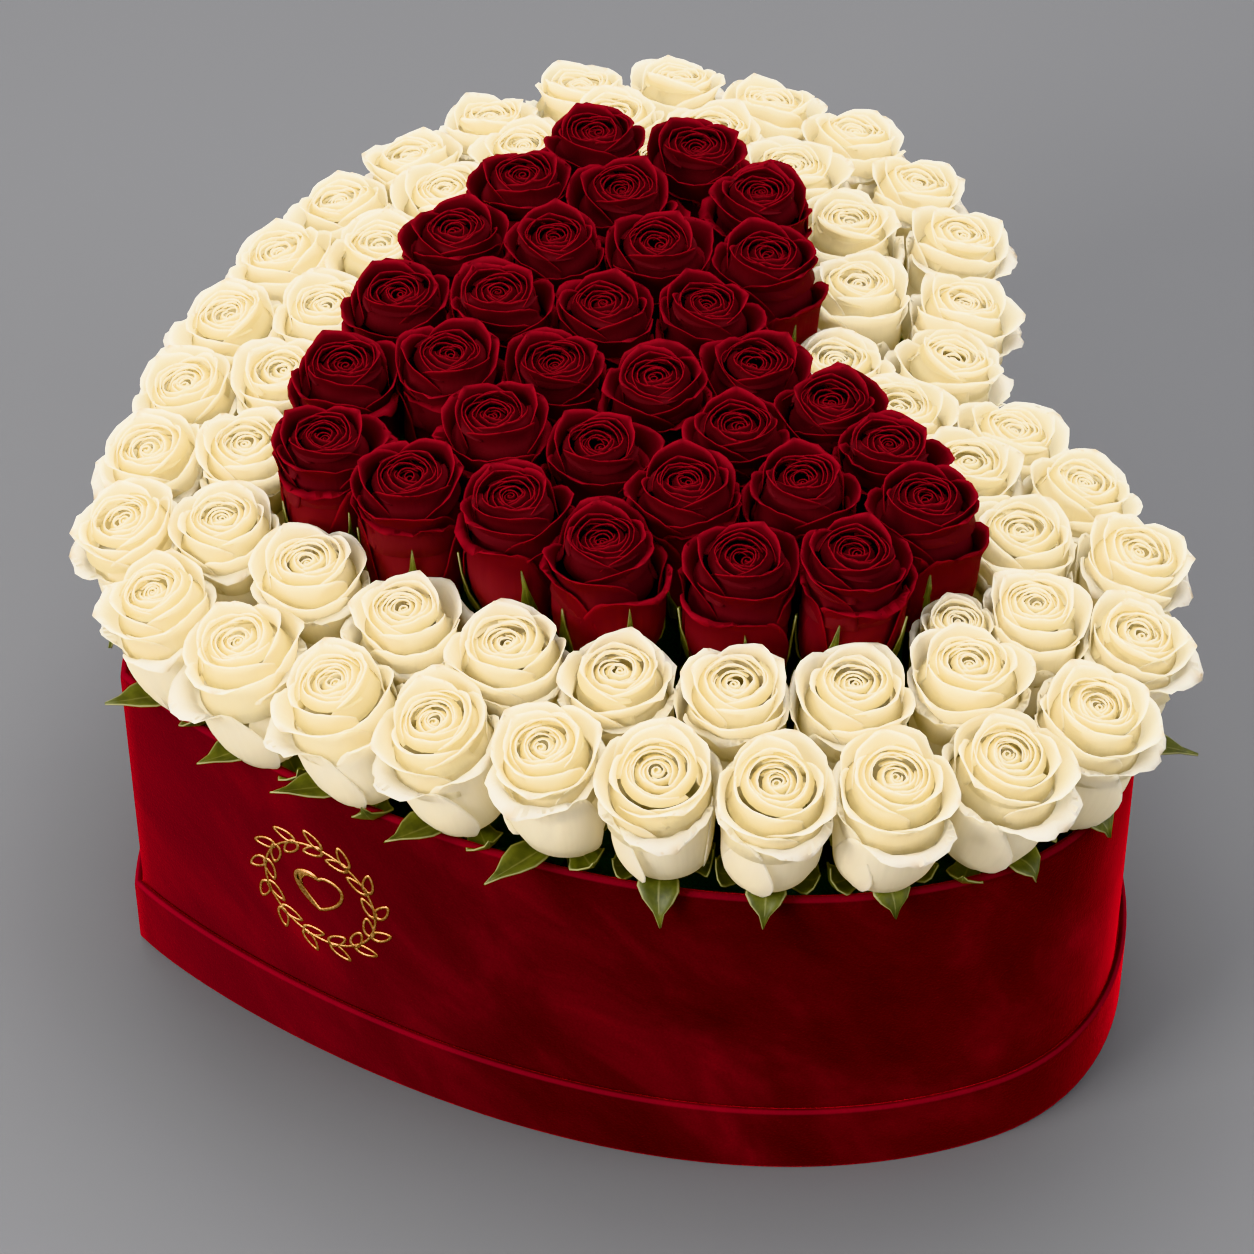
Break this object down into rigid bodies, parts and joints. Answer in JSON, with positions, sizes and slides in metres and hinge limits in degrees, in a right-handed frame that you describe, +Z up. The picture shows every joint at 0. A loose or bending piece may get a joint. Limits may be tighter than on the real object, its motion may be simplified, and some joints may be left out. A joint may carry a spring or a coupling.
{
  "type": "rose heart arrangement",
  "caption": "Heart of white roses with a raised heart of dark-red roses inside, standing in wet floral foam in a heart-shaped red velvet gift box that stands in its lid.",
  "frame": {"origin": "on the underside of the lid that the box stands in, below the middle of the heart", "axes": "+Z up, the heart's axis of symmetry along Y with its point at -Y and its notch at +Y, +X to the heart's right lobe seen from above with the notch away"},
  "size_m": [0.5408, 0.4666, 0.2866],
  "materials": {
    "velvet": "dark red cotton velvet glued over board, nap brushed in patches",
    "floral_foam": "wet green phenolic floral foam, crumbly and matte",
    "white_petals": "creamy white rose petals, satin, warmer in the depths",
    "red_petals": "dark crimson rose petals, velvety",
    "stems": "olive-green stems and sepals with paler edges"
  },
  "bodies": {
    "root": {"blooms_red_lobe_01": "red_petals", "blooms_red_lobe_02": "red_petals", "blooms_red_middle_01": "red_petals", "blooms_red_outer_01": "red_petals", "blooms_red_outer_02": "red_petals", "blooms_red_outer_03": "red_petals", "blooms_red_outer_04": "red_petals", "blooms_red_outer_05": "red_petals", "blooms_white_inner_01": "white_petals", "blooms_white_inner_02": "white_petals", "blooms_white_inner_03": "white_petals", "blooms_white_inner_04": "white_petals", "blooms_white_inner_05": "white_petals", "blooms_white_inner_06": "white_petals", "blooms_white_outer_01": "white_petals", "blooms_white_outer_02": "white_petals", "blooms_white_outer_03": "white_petals", "blooms_white_outer_04": "white_petals", "blooms_white_outer_05": "white_petals", "blooms_white_outer_06": "white_petals", "blooms_white_outer_07": "white_petals", "blooms_white_outer_08": "white_petals", "blooms_white_outer_09": "white_petals", "blooms_white_outer_10": "white_petals", "box": "velvet", "floral_foam": "floral_foam", "lid": "velvet", "stems_red_lobe_01": "stems", "stems_red_lobe_02": "stems", "stems_red_middle_01": "stems", "stems_red_outer_01": "stems", "stems_red_outer_02": "stems", "stems_red_outer_03": "stems", "stems_red_outer_04": "stems", "stems_red_outer_05": "stems", "stems_white_inner_01": "stems", "stems_white_inner_02": "stems", "stems_white_inner_03": "stems", "stems_white_inner_04": "stems", "stems_white_inner_05": "stems", "stems_white_inner_06": "stems", "stems_white_outer_01": "stems", "stems_white_outer_02": "stems", "stems_white_outer_03": "stems", "stems_white_outer_04": "stems", "stems_white_outer_05": "stems", "stems_white_outer_06": "stems", "stems_white_outer_07": "stems", "stems_white_outer_08": "stems", "stems_white_outer_09": "stems", "stems_white_outer_10": "stems"}
  },
  "joints": []
}
